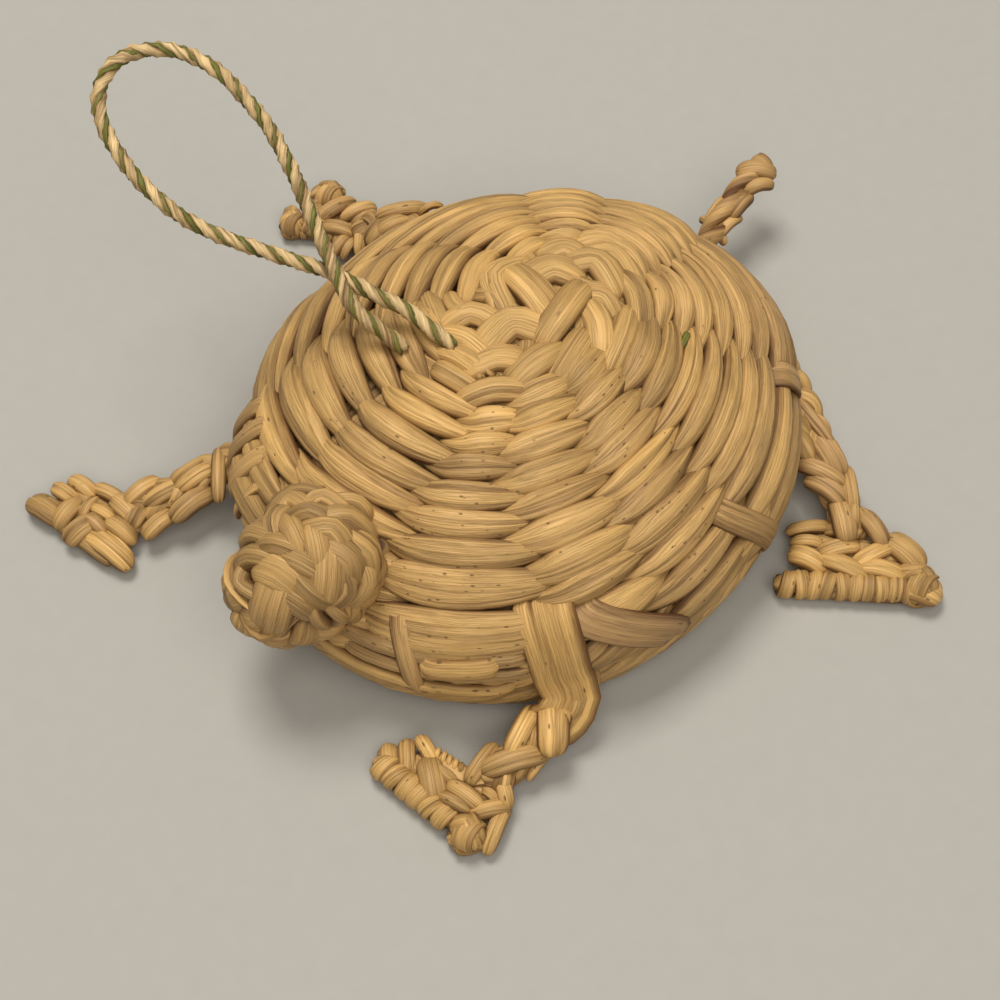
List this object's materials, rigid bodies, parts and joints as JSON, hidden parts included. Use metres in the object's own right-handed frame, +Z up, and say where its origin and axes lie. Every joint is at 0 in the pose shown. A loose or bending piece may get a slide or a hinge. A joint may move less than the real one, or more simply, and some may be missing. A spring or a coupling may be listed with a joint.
{
  "type": "woven straw turtle ornament",
  "caption": "Turtle woven from dried straw: a domed twined shell over a flat belly, a plaited head, braided legs with wrapped feet, a twisted tail and a stiff hanging loop.",
  "frame": {"origin": "on the surface the turtle rests on, under the middle of its box without the hanging loop", "axes": "+Z up out of the shell's top, the head towards -Y, the turtle's left side towards +X"},
  "size_m": [0.1299, 0.1282, 0.0595],
  "materials": {
    "shell_straw": "dried golden straw, folded and twined, satin with fine lengthwise ribs",
    "belly_straw": "dried straw, twined flat, matt",
    "head_straw": "dried brown straw, plaited, satin",
    "limb_straw": "dried straw, braided and wrapped, satin",
    "strap_straw": "flat folded straw blades, satin",
    "cord_straw": "pale straw and green blades twisted into a two-ply cord"
  },
  "bodies": {
    "root": {"shell": "shell_straw", "belly": "belly_straw", "head": "head_straw", "leg_right_front": "limb_straw", "foot_right_front": "limb_straw", "leg_left_front": "limb_straw", "foot_left_front": "limb_straw", "leg_left_rear": "limb_straw", "foot_left_rear": "limb_straw", "leg_right_rear": "limb_straw", "foot_right_rear": "limb_straw", "tail": "limb_straw", "strap_left_front": "strap_straw", "strap_left_side": "strap_straw", "strap_left_middle": "strap_straw", "strap_left_rear": "strap_straw", "strap_by_head": "strap_straw", "hanging_loop": "cord_straw"}
  },
  "joints": []
}
